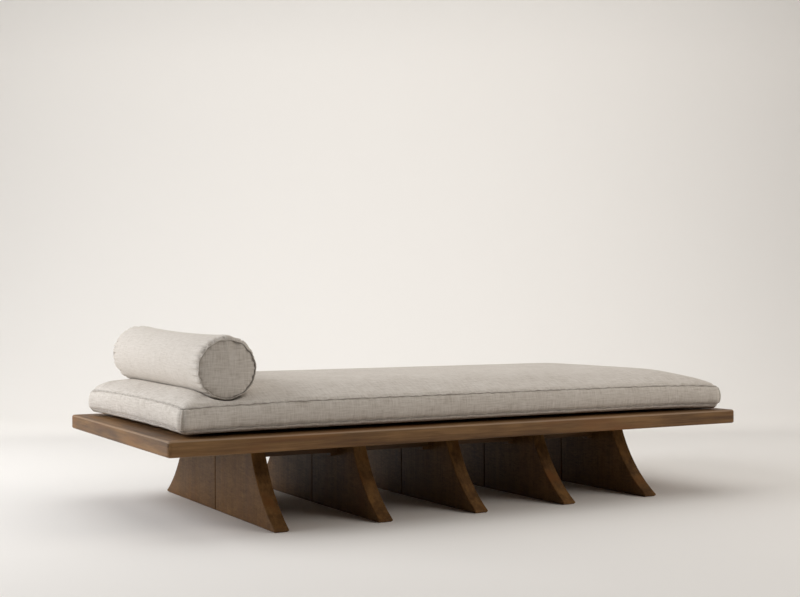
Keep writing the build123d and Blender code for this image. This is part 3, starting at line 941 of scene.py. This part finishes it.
def make_mattress():
    """The mattress cover and its piped seams."""
    points, faces, u, v, level = mattress_mesh()
    cover = add_piece("mattress_cover", points, faces, "mattress", linen_flat)
    for name, values in (("pattern_u", u), ("pattern_v", v), ("pattern_level", level)):
        write_field(cover.data, name, values)
    top, low, uprights = seam_sets(u, v, level)
    crease_between(cover.data, (top, low, *uprights))
    held = top | (level > 1 - 1e-5) | np.any(uprights, axis=0)
    spare = np.clip(1 - seam_gap(u, v, level) / 0.09, 0, 1) * (level < 1)
    inflate(cover, held, CROWN_SWELL, pressure=6, stiffness=20, bending=1.5, spare=spare)
    subdivide_once(cover)
    points, u, v, level = finish_mattress(cover)
    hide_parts("mattress_core", "mattress_top_panel", "mattress_bottom_panel",
                "mattress_front_border", "mattress_back_border", "mattress_head_border",
                "mattress_foot_border")
    top, low, uprights = seam_sets(u, v, level)
    out_x, out_y = outward_ways(u, v, *MATTRESS_HALF, CORNER_RADIUS)
    outward = np.stack([out_x, out_y, np.zeros_like(out_x)], 1)
    for name, seam, lift in (("top", top, 0.25), ("bottom", low, 0.0)):
        order = np.flatnonzero(seam)
        place = perimeter_order(u[order], v[order])
        order, place = order[np.argsort(place)], np.sort(place)
        path = points[order] + outward[order] * WELT_RADIUS * 0.55
        path[:, 2] += WELT_RADIUS * lift
        # Painted shade: the piping on the front, which faces away from the key light, is darker,
        # and the waves break up its painted dark line along the seam.
        on_front = v[order] < 0.01 - MATTRESS_HALF[1]
        shade = np.where(on_front, FRONT_PIPING_GAP, PIPING_GAP)
        shade = shade + 0.0006 * waves(place, 1.0, 9, 40, 16, 9)
        add_piping(f"mattress_{name}_piping", *tube(path, WELT_RADIUS), "mattress",
                   np.repeat(shade, TUBE_SIDES), f"mattress_{name}_welt")
    cords, cord_faces, made = [], [], 0
    for seam in uprights:
        order = np.flatnonzero(seam)
        order = order[np.argsort(level[order])][1:-1]
        path = points[order] + outward[order] * CORNER_WELT_RADIUS * 0.5
        cord, faces = upright_tube(path, CORNER_WELT_RADIUS, outward[order[0]])
        cord_faces += [tuple(made + i for i in face) for face in faces]
        cords.append(cord)
        made += len(cord)
    add_piping("mattress_corner_piping", np.concatenate(cords), cord_faces, "mattress",
               CORNER_PIPING_GAP, "mattress_corner_welts")


# -------------------- bolster
def bolster_frame():
    """The bolster's resting place: built along Y at the origin, then tilted and laid."""
    return Matrix.Translation(Vector(BOLSTER_MIDDLE)) @ Matrix.Rotation(BOLSTER_LEAN, 4, "X")


def laid(points):
    """Points of the bolster's own frame, at its resting place."""
    lay = np.array(bolster_frame())
    return points @ lay[:3, :3].T + lay[:3, 3]


def rim_outline(turns, side, wave):
    """A rim seam's outline. The front disc has settled: a little lower and squashed from above."""
    settled = 1.0 if side < 0 else 0.0
    x = (BOLSTER_RIM + wave) * np.cos(turns)
    z = (BOLSTER_RIM - BOLSTER_SQUASH * settled + wave) * np.sin(turns) - BOLSTER_DROP * settled
    return x, z


def bolster_mesh():
    """The bolster cover along local Y: sleeve rows between two rims, then rings over each disc.

    A vertex's gap is its distance from the nearer rim's seam, and is negative on the discs."""
    around = BOLSTER_AROUND
    turns = 2 * math.pi * np.arange(around) / around
    middle = np.linspace(-1, 1, BOLSTER_ROWS) * (BOLSTER_HALF - 0.021)
    ends = [BOLSTER_HALF - step for step in BOLSTER_EDGE_STEPS]
    places = [-end for end in ends] + list(middle) + ends[::-1]
    rims = (rim_outline(turns, -1, 0.0014 * waves(turns, 2 * math.pi, 7, 17, 31, 6)),
            rim_outline(turns, 1, 0.0012 * waves(turns, 2 * math.pi, 8, 17, 32, 6)))
    rows = []
    for place in places:
        near = BOLSTER_HALF - abs(place)
        ease = 1 - math.exp(-near / 0.0058)
        full = bolster_radius(place) - BOLSTER_SWELL
        rim_x, rim_z = rims[0] if place < 0 else rims[1]
        rows.append((rim_x + (full * np.cos(turns) - rim_x) * ease, place,
                     rim_z + (full * np.sin(turns) - rim_z) * ease, near))
    poles = []
    for side, (rim_x, rim_z) in zip((-1, 1), rims):
        middle_z = rim_z.mean()
        poles.append((0, side * (BOLSTER_HALF + BOLSTER_DOME), middle_z))
        for share in DISC_RINGS:
            gap = BOLSTER_RIM * (1 - share)
            dome = BOLSTER_DOME * (1 - share ** 2) - 0.0030 * math.exp(-(gap / 0.0035) ** 2)
            rows.append((rim_x * share, side * (BOLSTER_HALF + dome),
                         middle_z + (rim_z - middle_z) * share, -gap))
    x, y, z, gap = (np.concatenate([np.broadcast_to(part, around) for part in column])
                    for column in zip(*rows))
    points = np.concatenate([np.stack([x, y, z], 1), poles])
    gap = np.concatenate([gap, [-BOLSTER_RIM, -BOLSTER_RIM]])

    rings = np.arange(len(rows) * around).reshape(-1, around)
    sleeve, front, back = np.split(rings, (len(places), len(places) + len(DISC_RINGS)))
    front, back = [sleeve[0], *front], [sleeve[-1], *back]
    faces = []
    for first, second in [*zip(sleeve, sleeve[1:]), *zip(front[1:], front), *zip(back, back[1:])]:
        faces += ring_faces(first, second)
    pole = len(points) - 2
    for k in range(around):
        m = (k + 1) % around
        faces += [(pole, front[-1][k], front[-1][m]), (pole + 1, back[-1][m], back[-1][k])]
    return points, faces, gap


def finish_bolster(piece):
    """Folds, creases, sag and the flat places at the zip and underneath, on the subdivided cover.

    Gives back the two rims' seam paths, front first."""
    mesh = piece.data
    points, normals = read(mesh.vertices, "co"), read(mesh.vertex_normals, "vector")
    gap = read_field(mesh, "seam_gap")
    turn = np.arctan2(points[:, 2], points[:, 0])
    distance, on_sleeve, front = np.abs(gap), gap >= 0, points[:, 1] < 0

    def end_waves(low, high, seeds, count):
        """Waves round the bolster, from one seed at its front end and another at its back."""
        ends = [waves(turn, 2 * math.pi, low, high, seed, count) for seed in seeds]
        return np.where(front, *ends)

    reach = np.where(on_sleeve, FOLD_REACH_SLEEVE, FOLD_REACH_DISC)
    folds = end_waves(17, 33, (41, 42), 9) * np.exp(-distance / reach)
    folds += end_waves(7, 15, (43, 44), 7) * np.exp(-distance / (2.4 * reach))
    shift = BOLSTER_FOLD * folds * np.clip(distance / 0.002, 0, 1)
    crease = end_waves(15, 31, (137, 48), 9) - CREASE_FROM
    crease = np.tanh(np.maximum(crease, 0) / CREASE_FROM)
    crease *= np.exp(-(distance / CREASE_REACH) ** 2) * np.clip(distance / 0.004, 0, 1)
    shift -= CREASE_DEPTH * crease * on_sleeve
    sag = BOLSTER_SAG * np.clip(1 - (points[:, 1] / BOLSTER_HALF) ** 2, 0, 1)
    upper = np.clip(points[:, 2] / BOLSTER_RADIUS, 0, 1) ** 1.5
    points += normals * shift[:, None]
    points[:, 2] -= sag * upper * on_sleeve
    lump = BOLSTER_LUMP * waves(turn, 2 * math.pi, 2, 6, 45) * waves(points[:, 1], 0.8, 1, 5, 46)
    points += normals * (lump * on_sleeve * np.clip(distance / 0.05, 0, 1))[:, None]

    radial = np.hypot(points[:, 0], points[:, 2])
    aside = np.abs(turn - math.radians(BOLSTER_ZIP_ANGLE)) * radial
    past_end = np.maximum(np.abs(points[:, 1]) - BOLSTER_ZIP_HALF - 0.006, 0)
    zip_bed = BOLSTER_RADIUS - 0.0004 + 0.5 * (np.maximum(aside - BOLSTER_ZIP_BED, 0) + past_end)
    shrink = np.where(on_sleeve, np.minimum(zip_bed / radial, 1), 1)
    points[:, [0, 2]] *= shrink[:, None]
    resting = on_sleeve & (points[:, 2] < -0.03)
    most = bolster_radius(points[:, 1]) / np.hypot(points[:, 0], points[:, 2])
    points[:, [0, 2]] *= np.where(resting, np.minimum(most, 1), 1)[:, None]

    rim_paths = []
    for side in (-1, 1):
        rim = np.flatnonzero((distance < 1e-6) & (points[:, 1] * side > 0))
        path = points[rim[np.argsort(turn[rim])]]
        path[:, 1] += side * 0.0008
        path[:, [0, 2]] *= 1 + 0.0004 / BOLSTER_RIM
        rim_paths.append(laid(path))
    write_points(mesh, laid(points))
    # Painted shade for the linen: darker in the creases, and in a dark line on the disc 1.4 mm in
    # from the rim seam.
    shade = np.where(on_sleeve, np.minimum(gap + 0.0020, SEAM_SHADE_REACH) - 0.0013 * crease,
                     np.abs(distance - 0.0014) * 1.3)
    write_field(mesh, "seam_gap", shade)
    return rim_paths


def make_bolster():
    """The bolster cover and its two piped rims."""
    points, faces, gap = bolster_mesh()
    cover = add_piece("bolster_cover", points, faces, "bolster", linen_bolster)
    write_field(cover.data, "seam_gap", gap)
    rims = [(np.abs(gap) < 1e-9) & (points[:, 1] * side > 0) for side in (-1, 1)]
    crease_between(cover.data, rims)
    spare = np.clip(1 - np.abs(gap) / 0.05, 0, 1)
    inflate(cover, rims[0] | rims[1], BOLSTER_SWELL, pressure=6, stiffness=20, bending=0.6,
            spare=spare)
    subdivide_once(cover)
    rim_paths = finish_bolster(cover)
    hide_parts("bolster_core", "bolster_sleeve", "bolster_front_disc", "bolster_back_disc")
    for name, path in zip(("front", "back"), rim_paths):
        add_piping(f"bolster_{name}_piping", *tube(path, BOLSTER_WELT), "bolster",
                   BOLSTER_PIPING_GAP, f"bolster_{name}_welt")


# -------------------- zips
def zip_chain(name, place, run, rise, out, length, body, node):
    """Two rows of interlocking metal teeth along a zip.

    Run, rise and out are unit directions: along the zip, across it and out of the cloth."""
    run, rise, out, place = (np.array(v, dtype=float) for v in (run, rise, out, place))
    points, faces = [], []
    for side in (-1, 1):
        quads = [(0, 1, 2, 3), (7, 6, 5, 4), (0, 4, 5, 1), (1, 5, 6, 2), (2, 6, 7, 3), (3, 7, 4, 0)]
        if side * np.dot(np.cross(run, rise), out) > 0:
            quads = [tuple(reversed(q)) for q in quads]
        for i in range(int(length / TOOTH_PITCH)):
            middle = (i + 0.75 + 0.25 * side) * TOOTH_PITCH - length / 2
            first = len(points)
            for depth in (0.0, 1.0):
                half = TOOTH_LENGTH * (0.5 - 0.10 * depth)
                outline = ((-0.15, -half), (-0.15, half), (1.0, half * 0.8), (1.0, -half * 0.8))
                for across, along in outline:
                    points.append(place + run * (middle + along)
                                  + rise * (side * across * TOOTH_REACH)
                                  + out * (0.0001 + depth * TOOTH_HEIGHT))
            faces += [tuple(first + q for q in quad) for quad in quads]
    chain = add_piece(name, points, faces, body, brass_teeth)
    chain.data.shade_flat()
    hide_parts(node)


def dress_zips():
    """Teeth as metal chains, and finishes for the tapes, sliders and pulls."""
    place = (MATTRESS_MIDDLE, MATTRESS_HALF[1] + TAPE_THICKNESS, ZIP_HEIGHT)
    zip_chain("mattress_zip_chain", place, (1, 0, 0), (0, 0, 1), (0, 1, 0), 2 * ZIP_HALF,
              "mattress", "mattress_zip_teeth")
    turn = math.radians(BOLSTER_ZIP_ANGLE)
    outward = Vector((math.cos(turn), 0, math.sin(turn)))
    rise = Vector((-math.sin(turn), 0, math.cos(turn)))
    lay = bolster_frame()
    spin = lay.to_3x3()
    zip_chain("bolster_zip_chain", lay @ (outward * (BOLSTER_RADIUS + TAPE_THICKNESS)),
              spin @ Vector((0, 1, 0)), spin @ rise, spin @ outward,
              2 * BOLSTER_ZIP_HALF, "bolster", "bolster_zip_teeth")
    dress("mattress_zip_tape", tape_weave("zip_tape_mattress", "X", "Z"))
    dress("bolster_zip_tape", tape_weave("zip_tape_bolster", "Y", "Z"))
    for cushion in ("mattress", "bolster"):
        for metal in ("slider", "pull"):
            name = f"{cushion}_zip_{metal}"
            dress(name, brass(f"brass_{name}", 0.9))


def sort_panels(cover, pick):
    """Give each face its panel's material, where pick works out an index from place and normal."""
    faces = cover.data.polygons
    index = pick(read(faces, "center"), read(faces, "normal"))
    faces.foreach_set("material_index", index.astype(np.int32))
    cover.data.update()


def mattress_panel(centres, normals):
    """0 on the top and bottom panels, 1 on the front and back border, 2 on the end borders."""
    on_border = (np.abs(normals[:, 2]) < 0.72) & (centres[:, 2] < 0.372)
    ends = np.abs(normals[:, 0]) > np.abs(normals[:, 1])
    return np.where(on_border, np.where(ends, 2, 1), 0)


def bolster_panel(centres, normals):
    """0 on the sleeve, 1 on the discs."""
    local = (centres - BOLSTER_MIDDLE) @ BOLSTER_AXIS
    on_end = (np.abs(local) > BOLSTER_HALF - 0.006) & (np.abs(normals @ BOLSTER_AXIS) > 0.6)
    return on_end.astype(int)


make_camera()
make_stage()
make_lights()
dress_frame()
linen_flat = flat_linen("linen_top", "X", "Y")
linen_piping = piping_linen("linen_piping")
linen_bolster = bolster_linen("linen_sleeve", False)
brass_teeth = brass("brass_teeth", 1.0)
make_mattress()
cover = bpy.data.objects["mattress_cover"]
cover.data.materials.append(flat_linen("linen_front", "X", "Z"))
cover.data.materials.append(flat_linen("linen_end", "Y", "Z"))
sort_panels(cover, mattress_panel)
make_bolster()
roll = bpy.data.objects["bolster_cover"]
roll.data.materials.append(bolster_linen("linen_disc", True))
sort_panels(roll, bolster_panel)
dress_zips()
